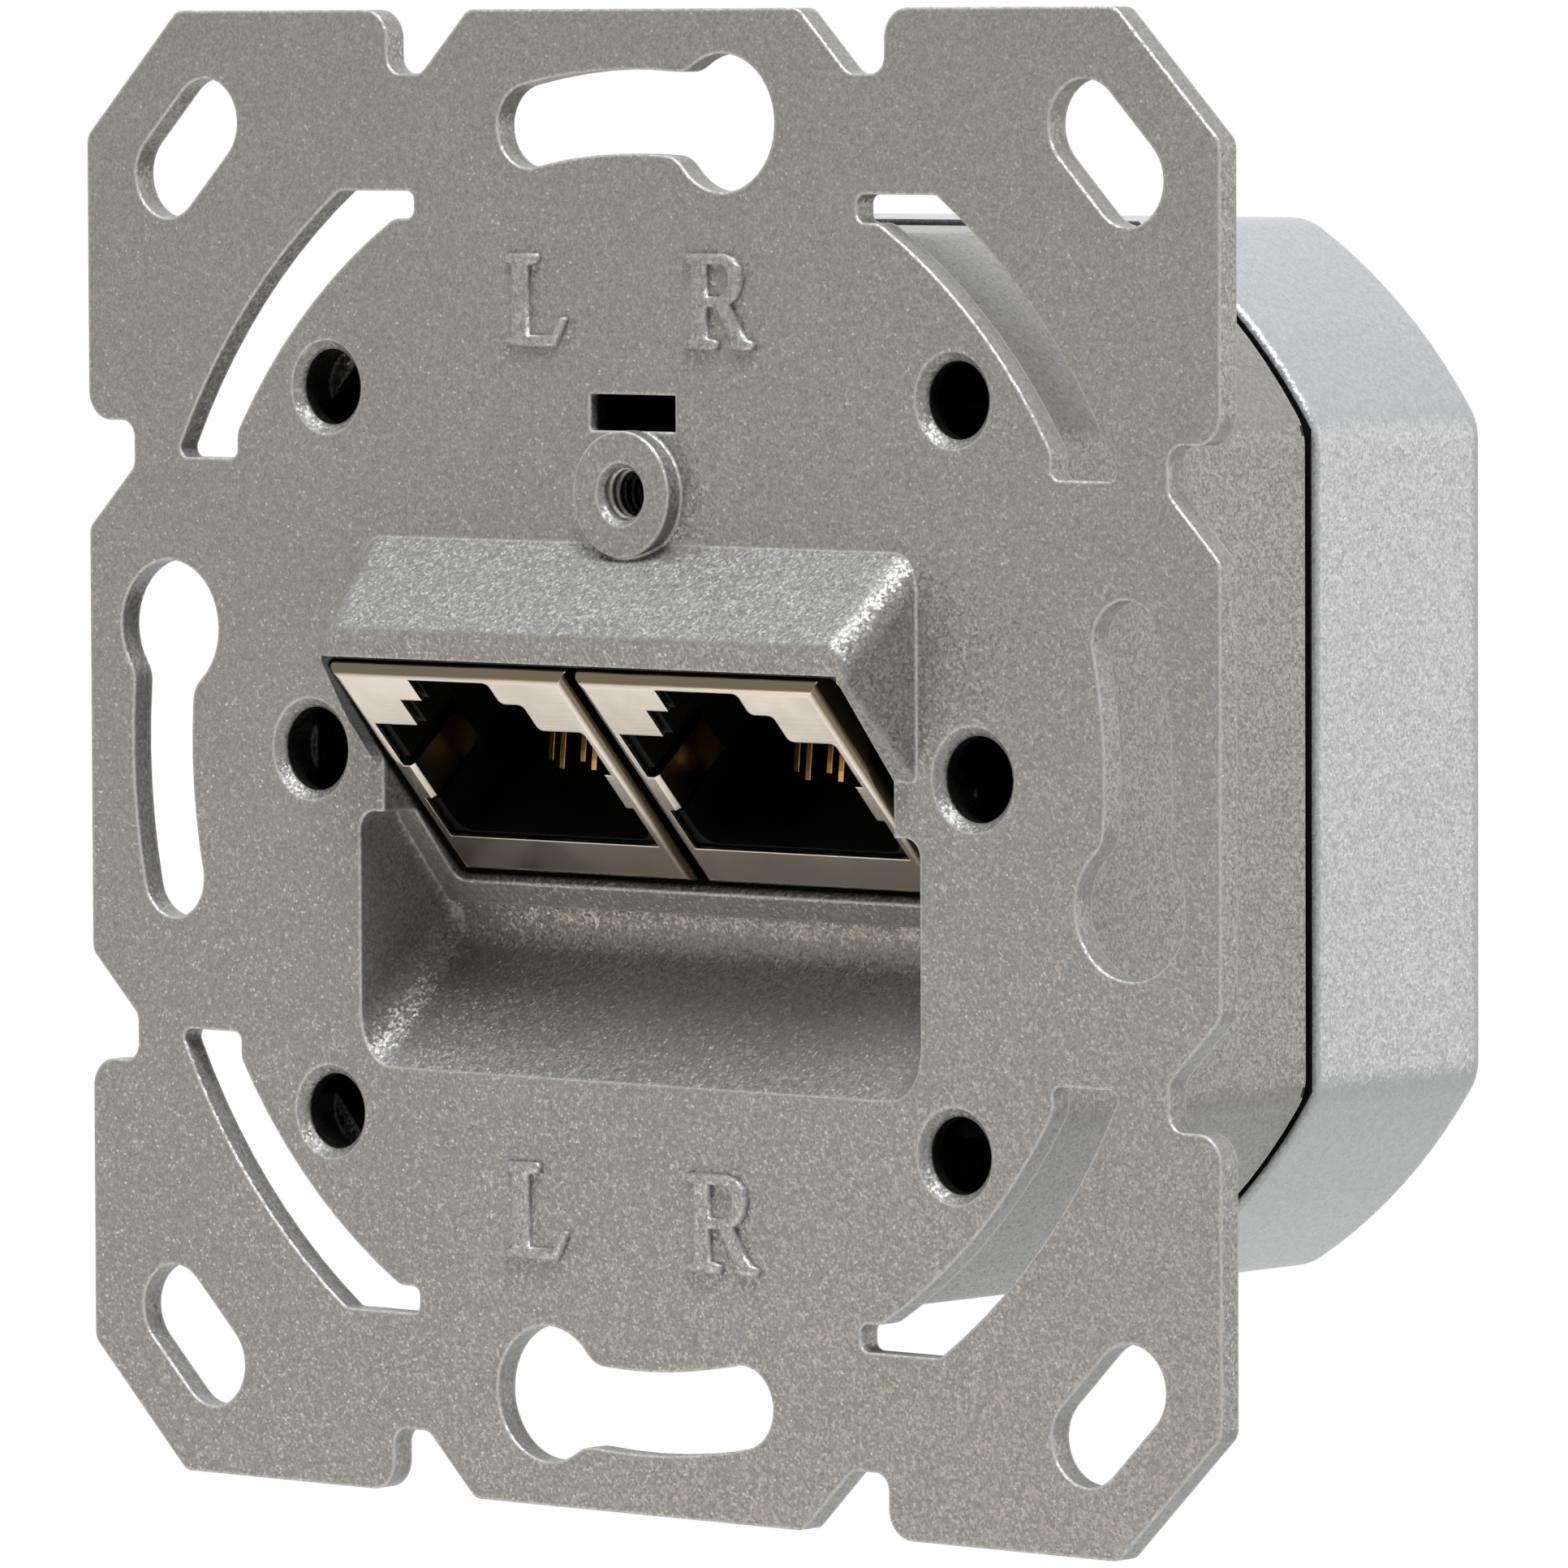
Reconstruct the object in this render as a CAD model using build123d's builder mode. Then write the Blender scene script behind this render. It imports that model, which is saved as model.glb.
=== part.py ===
from build123d import *
from math import cos, radians, sin
import os

os.makedirs("parts", exist_ok=True)

# Sizes in millimetres. X runs across the plate, Z up it, and Y back into the wall.
# The origin is the middle of the plate's back face, which lies against the wall.

# Mounting plate and its rim notches
plate_size = 70.0
plate_t = 1.2
corner_leg = 6.0
notch_depth = 3.0
notch_side = 15.4
notch_floor = 13.2
notch_mouth = 10.2
tab_round = 1.4
notch_round = 0.8

# Keyhole slots for the box screws, on one circle about the middle
key_circle_r = plate_size / 2 - 4.75
key_width = 3.9
key_big_r = 3.2
key_big_angle = 10.6
key_small_angle = 12.3
key_blend = 1.5

# Slots in the four corners, and the long curved slots around the housing
corner_slot_offset = plate_size / 2 - 6.55
corner_slot_width = 4.2
corner_slot_spread = 3.5
relief_outer = plate_size / 2 - 2.7
relief_inner = relief_outer - 3.0
relief_flat = relief_inner - 4.1
relief_top = relief_outer - 5.8
relief_near = 13.7
relief_round = 0.45
relief_blend = 1.2

# Round holes through the plate into the housing
corner_hole_x = 19.4
corner_hole_z = 17.2
corner_hole_r = 1.8
corner_hole_mouth = 2.25
middle_hole_x = 20.55
middle_hole_r = 2.0
middle_hole_mouth = 2.45

# Screw boss for the centre plate, and the slot above it
boss_z = 12.55
boss_r = 2.95
boss_rise = 0.9
boss_back = 1.2
boss_core_r = 1.25
boss_mouth_r = 1.5
latch_slot_w = 5.3
latch_slot_h = 1.7
latch_slot_z = 16.3

# Screened housing behind the plate, and its cover
body_w = 47.6
body_h = 49.4
body_r = 28.35
body_edge = 2.5
body_wall = 1.6
seam_y = 18.85
seam_gap = 0.55
body_depth = 32.5
cover_over = 0.3
cover_edge = 1.5
cover_seam_edge = 0.3
lip_t = 0.7
lip_clear = 0.15
lip_reach = 1.5
lip_root = 2.0

# Cable inlets in the cover's lower wall
inlet_x = 6.9
inlet_r = 3.8
inlet_y = body_depth - 8.8
inlet_cut = 4.0

# Slant of the jacks and of the casting's rim around them
jack_tilt = 43.5
jack_y = -0.73
jack_z = -0.93
floor_tilt = 42.0
rim_tilt = 40.0
rim_y = 3.55
rim_z = -5.9

# Hood in front of the plate
hood_half = 17.2
hood_draft_angle = 13.0
hood_foot_z = 10.2
hood_slope_angle = 45.0
hood_reach = 4.12
hood_lip_angle = 8.0
hood_edge = 1.5
hood_rim_edge = 0.3

# Jacks and the passage that holds them
jack_pitch = 15.4
jack_shift = -0.45
jack_w = 14.7
jack_h = 13.8
jack_side_gap = 0.8
jack_top_gap = 0.15
jack_low_gap = 0.2
passage_round = 0.5
passage_deep = 16.0
spring_room = 0.45
spring_from = 2.0
sheet = 0.2
sheet_round = 0.5
fit_gap = 0.05
hole_clear = 0.1

# How far a cut runs past a face, and the tolerance when corners are picked
cut_past = 1.0
tiny = 0.01

# Recess below the jacks
recess_half = 17.4
recess_foot_z = -14.9
recess_round = 1.9
recess_side_round = 0.7
recess_wall = 1.5
recess_front = 4.0
recess_top = -2.8
recess_top_round = 0.9

# Low frame that stands around the lower half of the passage
frame_step = 0.25
frame_side = 0.9
frame_low = 1.35
frame_root = 0.8

# Spring strip between the shields and the roof
strip_t = 0.15
strip_half = 14.0
strip_from = 2.2
strip_to = 6.6

# Port window, from wide to narrow: half width and top edge of each step
window_low = -4.36
window_steps = ((6.58, 3.33), (3.86, 5.04), (2.5, 6.43))
window_round = 0.3
cavity_steps = ((6.1, 3.25), (3.5, 4.95), (2.3, 6.1))
cavity_low = -4.3
cavity_deep = 12.0
cavity_round = 0.8
body_front = 0.35
body_deep = 13.0

# Grounding fingers folded in from the sides of each window
finger_top = 0.45
finger_low = -1.75
finger_in = 5.95
finger_tip = 5.7
finger_long = 4.0
finger_room = 0.35

# Contact wires of the jacks
wire_count = 8
wire_pitch = 1.016
wire_t = 0.32
wire_clear = 0.08
wire_tip = (11.2, 0.6)
wire_foot = (5.6, -4.15)
wire_turn = (4.9, -4.8)
wire_lead = (5.8, -5.5)
wire_stagger = 0.5
wire_rows = (-0.2, 2.3)

# Circuit board
board_gap = 0.35
board_w = body_w - 2 * (body_wall + lip_clear + lip_t + board_gap)
board_h = body_h - 16.4
board_y = 16.6
board_t = 1.6
board_chamfer = 2.0
pin_proud = 0.8
pin_hole_r = 0.45
carrier_low_z = -3.2
shield_deep = 14.0
tab_z = 4.6
tab_h = 1.2
tab_slot_w = 0.6
tab_slot_h = 1.6

# Screws and posts
screw_r = 0.95
screw_head_r = 1.7
screw_head_t = 1.1
screw_long = 5.0
screw_bite = 0.05
screw_short = 0.2
screw_slot = 0.45
screw_slot_deep = 0.5
post_r = 1.6
board_post_x = jack_pitch / 2 - jack_shift + jack_w / 2 + post_r + hole_clear
board_post_z = 12.5
cover_post_x = 11.5
cover_post_z = body_h / 2 - 4.8
cover_post_r = 2.0

# Punch-down blocks for the cable's wires
block_w = 26.0
block_h = 7.6
block_deep = 8.4
block_zs = (9.8, -8.0)
blade_pitch = 3.1
blade_w = 1.9
blade_t = 0.5
blade_long = 7.4
blade_slot = 0.4
blade_slot_deep = 3.5
blade_tail_w = 0.8
blade_tail_in = 1.4
block_groove = 0.9
block_groove_deep = 4.0

# Cable clamp
clamp_t = 0.7
clamp_h = 3.6
clamp_bore_r = 3.5
clamp_seat_y = inlet_y - 4.2
clamp_room = 1.55
clamp_post_x = 13.0
clamp_post_z = -(body_h / 2 - body_wall - lip_clear - lip_t - clamp_h / 2 - clamp_room)

tilt_cos = cos(radians(jack_tilt))
tilt_sin = sin(radians(jack_tilt))
half_plate = plate_size / 2
wall_plane = Plane.XZ
front_plane = Plane.XZ.offset(plate_t)
board_back = board_y + board_t
jack_xs = (jack_shift - jack_pitch / 2, jack_shift + jack_pitch / 2)
wire_xs = [(n - (wire_count - 1) / 2) * wire_pitch for n in range(wire_count)]
half_h = jack_h / 2
shield_half = jack_w / 2
inner_half = shield_half - sheet
inner_v = half_h - sheet
seat_v = inner_v - fit_gap
passage_w = jack_pitch + jack_w + 2 * jack_side_gap


def behind(y):
    """Sketch plane at depth y behind the plate, seen from the front."""
    return Plane.XZ.offset(-y)


def port_plane(x):
    """Plane of a jack's face: local X across, local Y up the face, normal out of the port."""
    return Plane(origin=(x, jack_y, jack_z), x_dir=(1, 0, 0), z_dir=(0, -tilt_cos, -tilt_sin))


def side_plane(x):
    """Plane of a jack's side view: local X goes into the port, local Y up its face."""
    return Plane(origin=(x, jack_y, jack_z), x_dir=(0, tilt_cos, tilt_sin), z_dir=(1, 0, 0))


def to_side(y, z):
    """A point given by depth and height, in a jack's side view."""
    return (
        (y - jack_y) * tilt_cos + (z - jack_z) * tilt_sin,
        (z - jack_z) * tilt_cos - (y - jack_y) * tilt_sin,
    )


def side_at_height(v, z):
    """The point of a jack's side view that lies at v and at the height z."""
    return ((z - jack_z - v * tilt_cos) / tilt_sin, v)


def meet(p, angle_p, q, angle_q):
    """Where two lines cross, each given by a point and an angle in degrees."""
    px, pz = cos(radians(angle_p)), sin(radians(angle_p))
    qx, qz = cos(radians(angle_q)), sin(radians(angle_q))
    along = ((q[0] - p[0]) * qz - (q[1] - p[1]) * qx) / (px * qz - pz * qx)
    return (p[0] + along * px, p[1] + along * pz)


# Plan of the body and of the steps of a port
with BuildSketch() as body_section:
    Circle(body_r)
    Rectangle(body_w, body_h, mode=Mode.INTERSECT)
    fillet(body_section.vertices(), body_edge)


def on_inner_arc(vertex):
    """Whether a corner of a curved slot lies on the slot's inner arc."""
    return abs(Vector(vertex.X, vertex.Y).length - relief_inner) < tiny


def on_tab(vertex):
    """Whether a corner of the plate's outline is the square shoulder of a notch."""
    near, far = sorted((abs(vertex.X), abs(vertex.Y)))
    return abs(far - half_plate) < tiny and abs(near - notch_side) < tiny


def body_ring(outer_in, inner_in):
    """Ring between two insets of the body's section."""
    with BuildSketch() as ring:
        offset(body_section.face(), -outer_in, mode=Mode.ADD)
        offset(body_section.face(), -inner_in, mode=Mode.SUBTRACT)
    return ring.sketch


def stepped_port(steps, low, low_round, step_round):
    """Outline of a port: a wide opening with two narrower steps above it for the latch."""
    with BuildSketch() as port:
        bottom = low
        for half, top in steps:
            with Locations((0, (bottom + top) / 2)):
                Rectangle(2 * half, top - bottom)
            bottom = top - sheet
        if low_round:
            fillet(port.vertices().group_by(Axis.Y)[0], low_round)
        if step_round:
            right = port.vertices().filter_by(lambda v: v.X > 0 and v.Y > low + tiny)
            fillet(right, step_round)
    return port.sketch


# Plate outline: eight notches, two on each edge
with BuildSketch() as notch:
    with BuildLine():
        Polyline(
            (notch_side, half_plate + notch_depth),
            (notch_side, half_plate - notch_depth),
            (notch_floor, half_plate - notch_depth),
            (notch_mouth, half_plate),
            (notch_mouth, half_plate + notch_depth),
            close=True,
        )
    make_face()
    mirror(about=Plane.YZ)

with BuildSketch() as keyhole:
    key_arc = CenterArc((0, 0), key_circle_r, 90 - key_big_angle, key_big_angle + key_small_angle)
    SlotArc(key_arc, key_width)
    with PolarLocations(key_circle_r, 1, start_angle=90 - key_big_angle):
        Circle(key_big_r)
    key_centre = Vector(key_circle_r, 0).rotate(Axis.Z, 90 - key_big_angle)
    necks = keyhole.vertices().filter_by(
        lambda v: abs((Vector(v.X, v.Y) - key_centre).length - key_big_r) < tiny
    )
    fillet(necks, key_blend)

with BuildSketch() as relief_core:
    Circle(relief_inner)
    Rectangle(2 * relief_flat, 2 * relief_flat, mode=Mode.INTERSECT)

with BuildSketch() as relief_slot:
    with Locations(((relief_near + relief_outer) / 2, (relief_near + relief_top) / 2)):
        Rectangle(relief_outer - relief_near, relief_top - relief_near)
    Circle(relief_outer, mode=Mode.INTERSECT)
    add(relief_core.sketch, mode=Mode.SUBTRACT)
    fillet(relief_slot.vertices().filter_by(lambda v: not on_inner_arc(v)), relief_round)
    fillet(relief_slot.vertices().filter_by(on_inner_arc), relief_blend)
    mirror(about=Plane.YZ)
    mirror(about=Plane.XZ)

with BuildSketch() as plate_outline:
    Rectangle(plate_size, plate_size)
    chamfer(plate_outline.vertices(), corner_leg)
    with PolarLocations(0, 4):
        add(notch.sketch, mode=Mode.SUBTRACT)
    fillet(plate_outline.vertices().filter_by(lambda v: not on_tab(v)), notch_round)
    fillet(plate_outline.vertices().filter_by(on_tab), tab_round)

# Rim line of the casting and floor line of the recess, in the view from the side
rim_angle = rim_tilt - 90
rim_point = (rim_y, rim_z)
floor_point = (-plate_t, recess_foot_z)
rim_normal = (cos(radians(rim_tilt)), sin(radians(rim_tilt)))
rim_back = (rim_y + recess_wall * rim_normal[0], rim_z + recess_wall * rim_normal[1])
floor_normal = (sin(radians(floor_tilt)), -cos(radians(floor_tilt)))
floor_back = (-plate_t + recess_wall * floor_normal[0], recess_foot_z + recess_wall * floor_normal[1])
recess_rim = (rim_y + frame_step * rim_normal[0], rim_z + frame_step * rim_normal[1])
frame_top = meet(rim_point, rim_angle, (0, recess_top + frame_root), 0)
frame_end = meet(rim_point, rim_angle, (0, jack_z - (half_h + jack_low_gap) * tilt_cos - frame_low), 0)
wall_line = ((0, 0), 90)
recess_line = ((-plate_t - recess_front, 0), 90)

# The recess is a filleted wedge, cut off at the plate's front face
with BuildPart() as recess:
    with BuildSketch(Plane.YZ.offset(-recess_half)):
        with BuildLine():
            Polyline(
                meet(recess_rim, rim_angle, *recess_line),
                meet(recess_rim, rim_angle, floor_point, floor_tilt),
                meet(floor_point, floor_tilt, *recess_line),
                close=True,
            )
        make_face()
    extrude(amount=2 * recess_half)
    inner_edges = recess.edges().filter_by(lambda e: e.center().Y > -plate_t - recess_front + tiny)
    fillet(inner_edges.sort_by(Axis.Z)[:3], recess_round)
    rim_sides = recess.faces().sort_by(Axis.Z)[-1].edges().sort_by(Axis.X)
    fillet([rim_sides[0], rim_sides[-1]], recess_side_round)
    split(bisect_by=front_plane, keep=Keep.BOTTOM)
    split(bisect_by=Plane.XY.offset(recess_top), keep=Keep.BOTTOM)
    top_sides = recess.faces().sort_by(Axis.Z)[-1].edges().sort_by(Axis.X)
    fillet([top_sides[0], top_sides[-1]], recess_top_round)

# Hood: roof at 45 degrees, a small upright lip, and a rim around the jacks
roof_foot = (-plate_t, hood_foot_z)
lip_top = meet(roof_foot, hood_slope_angle, (-plate_t - hood_reach, 0), 90)
lip_low = meet(lip_top, hood_lip_angle - 90, rim_point, rim_angle)
with BuildPart() as hood:
    with BuildSketch(Plane.YZ.offset(-hood_half)):
        with BuildLine():
            Polyline(
                meet(roof_foot, hood_slope_angle, *wall_line),
                lip_top,
                lip_low,
                meet(rim_point, rim_angle, *wall_line),
                close=True,
            )
        make_face()
    extrude(amount=2 * hood_half)
    draft(hood.faces().filter_by(Axis.X), front_plane, hood_draft_angle)
    roof_edges = hood.faces().sort_by(Axis.Z)[-1].edges().sort_by(Axis.X)
    fillet([roof_edges[0], roof_edges[-1]], hood_edge)
    lip_edges = hood.faces().sort_by(Axis.Y)[0].edges().sort_by(Axis.X)
    fillet([lip_edges[0], lip_edges[-1]], hood_rim_edge)
    rim_edges = hood.faces().sort_by(Axis.Z)[0].edges().sort_by(Axis.X)
    fillet([rim_edges[0], rim_edges[-1]], hood_rim_edge)

with BuildPart() as front_housing:
    with BuildSketch(wall_plane):
        add(plate_outline.sketch)
        with PolarLocations(0, 4):
            add(keyhole.sketch, mode=Mode.SUBTRACT)
        with PolarLocations(corner_slot_offset * 2**0.5, 4, start_angle=45):
            SlotCenterToCenter(corner_slot_spread, corner_slot_width, rotation=90, mode=Mode.SUBTRACT)
        add(relief_slot.sketch, mode=Mode.SUBTRACT)
    extrude(amount=plate_t)
    with BuildSketch(wall_plane):
        add(body_ring(0, body_wall))
    extrude(amount=-seam_y)
    add(hood.part)
    with BuildSketch(Plane.YZ.offset(-recess_half - recess_wall)):
        with BuildLine():
            Polyline(
                meet(rim_back, rim_angle, *wall_line),
                meet(rim_back, rim_angle, floor_back, floor_tilt),
                meet(floor_back, floor_tilt, *wall_line),
                close=True,
            )
        make_face()
    extrude(amount=2 * (recess_half + recess_wall))
    with BuildSketch(front_plane.offset(boss_rise)):
        with Locations((0, boss_z)):
            Circle(boss_r)
    extrude(amount=-(boss_rise + plate_t + boss_back))
    with BuildSketch(wall_plane):
        with GridLocations(2 * board_post_x, 2 * board_post_z, 2, 2):
            Circle(post_r)
    extrude(amount=-board_y)
    with BuildSketch(wall_plane):
        with Locations((-cover_post_x, cover_post_z), (cover_post_x, cover_post_z)):
            Circle(cover_post_r)
    extrude(amount=-(body_depth - body_wall - fit_gap))
    with BuildSketch(wall_plane):
        with Locations((-clamp_post_x, clamp_post_z), (0, clamp_post_z), (clamp_post_x, clamp_post_z)):
            Circle(post_r)
    extrude(amount=-clamp_seat_y)
    add(recess.part, mode=Mode.SUBTRACT)
    with BuildSketch(Plane.YZ.offset(jack_shift - passage_w / 2 - frame_side)):
        with BuildLine():
            Polyline(
                frame_top,
                frame_end,
                (frame_end[0] + frame_root * rim_normal[0], frame_end[1] + frame_root * rim_normal[1]),
                (frame_top[0] + frame_root * rim_normal[0], frame_top[1] + frame_root * rim_normal[1]),
                close=True,
            )
        make_face()
    extrude(amount=passage_w + 2 * frame_side)
    with BuildSketch(port_plane(0).offset(hood_reach)) as passage:
        with Locations((0, (jack_top_gap - jack_low_gap) / 2)):
            Rectangle(passage_w, jack_h + jack_top_gap + jack_low_gap)
        fillet(passage.vertices(), passage_round)
    extrude(amount=-(hood_reach + passage_deep), mode=Mode.SUBTRACT)
    with BuildSketch(port_plane(0).offset(-spring_from)):
        with Locations((0, half_h + jack_top_gap)):
            Rectangle(passage_w - 2 * passage_round, 2 * spring_room)
    extrude(amount=-(passage_deep - spring_from), mode=Mode.SUBTRACT)
    with BuildSketch(front_plane):
        with Locations((0, latch_slot_z)):
            Rectangle(latch_slot_w, latch_slot_h)
    extrude(amount=-plate_t, mode=Mode.SUBTRACT)
    with Locations(front_plane):
        with GridLocations(2 * corner_hole_x, 2 * corner_hole_z, 2, 2):
            CounterSinkHole(corner_hole_r, corner_hole_mouth, depth=plate_t + cut_past, counter_sink_angle=90)
        with Locations((-middle_hole_x, 0), (middle_hole_x, 0)):
            CounterSinkHole(middle_hole_r, middle_hole_mouth, depth=plate_t + cut_past, counter_sink_angle=90)
    with Locations(front_plane.offset(boss_rise)):
        with Locations((0, boss_z)):
            CounterSinkHole(
                boss_core_r,
                boss_mouth_r,
                depth=boss_rise + plate_t + boss_back + cut_past,
                counter_sink_angle=90,
            )
    bore_r = screw_r + screw_bite
    with BuildSketch(behind(board_y)):
        with GridLocations(2 * board_post_x, 2 * board_post_z, 2, 2):
            Circle(bore_r)
    extrude(amount=screw_long, mode=Mode.SUBTRACT)
    with BuildSketch(behind(body_depth)):
        with Locations((-cover_post_x, cover_post_z), (cover_post_x, cover_post_z)):
            Circle(bore_r)
    extrude(amount=screw_long + body_wall, mode=Mode.SUBTRACT)
    with BuildSketch(behind(clamp_seat_y)):
        with Locations((-clamp_post_x, clamp_post_z), (0, clamp_post_z), (clamp_post_x, clamp_post_z)):
            Circle(bore_r)
    extrude(amount=screw_long, mode=Mode.SUBTRACT)
front_housing.part.label = "front_housing"
export_step(front_housing.part, "parts/front_housing.step")

# Cover: a tub with a lip that reaches into the front housing
with BuildPart() as rear_cover:
    with BuildSketch(behind(seam_y + seam_gap)):
        offset(body_section.face(), cover_over, mode=Mode.ADD)
    extrude(amount=-(body_depth - seam_y - seam_gap))
    fillet(rear_cover.faces().sort_by(Axis.Y)[-1].edges(), cover_edge)
    fillet(rear_cover.faces().sort_by(Axis.Y)[0].edges(), cover_seam_edge)
    with BuildSketch(behind(seam_y + seam_gap)):
        offset(body_section.face(), -body_wall, mode=Mode.ADD)
    extrude(amount=-(body_depth - seam_y - seam_gap - body_wall), mode=Mode.SUBTRACT)
    with BuildSketch(behind(seam_y + seam_gap)):
        add(body_ring(body_wall - lip_clear, body_wall + lip_clear + lip_t))
    extrude(amount=-lip_root)
    with BuildSketch(behind(seam_y - lip_reach)):
        add(body_ring(body_wall + lip_clear, body_wall + lip_clear + lip_t))
    extrude(amount=-(lip_reach + seam_gap))
    with BuildSketch(Plane.XY.offset(-body_h / 2 - cover_over - cut_past)):
        with Locations((-inlet_x, inlet_y), (inlet_x, inlet_y)):
            Circle(inlet_r)
        with Locations((-inlet_x, inlet_y / 2), (inlet_x, inlet_y / 2)):
            Rectangle(2 * inlet_r, inlet_y)
    extrude(amount=inlet_cut, mode=Mode.SUBTRACT)
    with Locations(behind(body_depth).location * Rotation(0, 180, 0)):
        with Locations((-cover_post_x, cover_post_z), (cover_post_x, cover_post_z)):
            CounterSinkHole(
                screw_r + hole_clear,
                screw_head_r + hole_clear,
                depth=body_wall + cut_past,
                counter_sink_angle=90,
            )
rear_cover.part.label = "rear_cover"
export_step(rear_cover.part, "parts/rear_cover.step")


def wire_outline(row, thick):
    """Side view of a contact wire: up from the floor of the port, and back to its board pin."""
    back = -wire_stagger * row
    with BuildSketch() as outline:
        with BuildLine():
            Polyline(
                *[(w + back, v) for w, v in (wire_tip, wire_foot, wire_turn, wire_lead)],
                side_at_height(wire_lead[1], wire_rows[row]),
                to_side(board_back + pin_proud, wire_rows[row]),
            )
        trace(line_width=thick)
    return outline.sketch


def wire_set(x, thick):
    """The eight wires of the jack at x, in two staggered rows."""
    with BuildPart() as wires:
        for number, place in enumerate(wire_xs):
            with BuildSketch(side_plane(x + place)):
                add(wire_outline(number % 2, thick))
            extrude(amount=thick / 2, both=True)
    return wires.part


shield_top_z = jack_z + shield_deep * tilt_sin + half_h * tilt_cos
board_clear = board_y - fit_gap
shield_outline = (
    (0, half_h),
    (shield_deep, half_h),
    to_side(board_clear, shield_top_z),
    to_side(board_clear, carrier_low_z),
    side_at_height(-half_h, carrier_low_z),
    (0, -half_h),
)
shield_inside = (
    (sheet, inner_v),
    side_at_height(inner_v, shield_top_z - sheet),
    to_side(board_y + board_t, shield_top_z - sheet),
    to_side(board_y + board_t, carrier_low_z + sheet),
    side_at_height(-inner_v, carrier_low_z + sheet),
    (sheet, -inner_v),
)
carrier_outline = (
    (body_deep + fit_gap, seat_v),
    side_at_height(seat_v, shield_top_z - sheet - fit_gap),
    to_side(board_clear, shield_top_z - sheet - fit_gap),
    to_side(board_clear, carrier_low_z + sheet + fit_gap),
    side_at_height(-seat_v - fit_gap, carrier_low_z + sheet + fit_gap),
    (body_deep + fit_gap, -seat_v - fit_gap),
)
finger_outline = (
    (window_steps[0][0] + sheet, 0),
    (finger_in + sheet, 0),
    (finger_in, sheet),
    (finger_tip, finger_long),
    (finger_tip + sheet, finger_long),
    (finger_in + sheet, sheet),
    (window_steps[0][0] + sheet, sheet),
)

for side, x in zip(("left", "right"), jack_xs):
    with BuildPart() as jack_shield:
        with BuildSketch(side_plane(x - shield_half)):
            with BuildLine():
                Polyline(*shield_outline, close=True)
            make_face()
        extrude(amount=jack_w)
        face = jack_shield.faces().sort_by(Axis((0, 0, 0), (0, tilt_cos, tilt_sin)))[0]
        fillet(face.edges(), sheet_round)
        with BuildSketch(side_plane(x - inner_half)):
            with BuildLine():
                Polyline(*shield_inside, close=True)
            make_face()
        extrude(amount=2 * inner_half, mode=Mode.SUBTRACT)
        with BuildSketch(port_plane(x).offset(sheet)):
            add(stepped_port(window_steps, window_low, 0, window_round))
        extrude(amount=-cut_past, mode=Mode.SUBTRACT)
        finger_plane = Plane(origin=(x, jack_y, jack_z), x_dir=(1, 0, 0), z_dir=(0, -tilt_sin, tilt_cos))
        with BuildSketch(finger_plane.offset(finger_low)):
            with BuildLine():
                Polyline(*finger_outline, close=True)
            make_face()
            mirror(about=Plane.YZ)
        extrude(amount=finger_top - finger_low)
        with BuildSketch(behind(board_clear - sheet)):
            with Locations((x - shield_half + sheet / 2, tab_z), (x + shield_half - sheet / 2, tab_z)):
                Rectangle(sheet, tab_h)
        extrude(amount=-(board_t + pin_proud + sheet))
    jack_shield.part.label = side + "_jack_shield"
    export_step(jack_shield.part, "parts/" + side + "_jack_shield.step")

    sleeves = wire_set(x, wire_t + 2 * wire_clear)
    with BuildPart() as jack_body:
        with BuildSketch(port_plane(x).offset(-body_front)):
            Rectangle(2 * (inner_half - fit_gap), 2 * seat_v)
        extrude(amount=-(body_deep - body_front))
        with BuildSketch(port_plane(x)):
            add(stepped_port(cavity_steps, cavity_low, cavity_round, 0))
        extrude(amount=-cavity_deep, mode=Mode.SUBTRACT)
        with BuildSketch(port_plane(x)):
            with Locations((0, (finger_top + finger_low) / 2)):
                Rectangle(
                    2 * (finger_in + sheet + finger_room),
                    finger_top - finger_low + 2 * finger_room,
                )
        extrude(amount=-(finger_long + finger_room), mode=Mode.SUBTRACT)
        add(sleeves, mode=Mode.SUBTRACT)
    jack_body.part.label = side + "_jack_body"
    export_step(jack_body.part, "parts/" + side + "_jack_body.step")

    with BuildPart() as jack_carrier:
        with BuildSketch(side_plane(x - inner_half + fit_gap)):
            with BuildLine():
                Polyline(*carrier_outline, close=True)
            make_face()
        extrude(amount=2 * (inner_half - fit_gap))
        add(sleeves, mode=Mode.SUBTRACT)
    jack_carrier.part.label = side + "_jack_carrier"
    export_step(jack_carrier.part, "parts/" + side + "_jack_carrier.step")

    jack_contacts = wire_set(x, wire_t)
    jack_contacts.label = side + "_jack_contacts"
    export_step(jack_contacts, "parts/" + side + "_jack_contacts.step")

# Spring strip, bowed up against the hood's roof
strip_top_v = half_h + jack_top_gap + spring_room - strip_t / 2 - fit_gap
with BuildPart() as shield_spring:
    with BuildSketch(side_plane(-strip_half)):
        with BuildLine():
            ThreePointArc(
                (strip_from, half_h + strip_t / 2 + fit_gap),
                ((strip_from + strip_to) / 2, strip_top_v),
                (strip_to, half_h + strip_t / 2 + fit_gap),
            )
        trace(line_width=strip_t)
    extrude(amount=2 * strip_half)
shield_spring.part.label = "shield_spring"
export_step(shield_spring.part, "parts/shield_spring.step")

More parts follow.
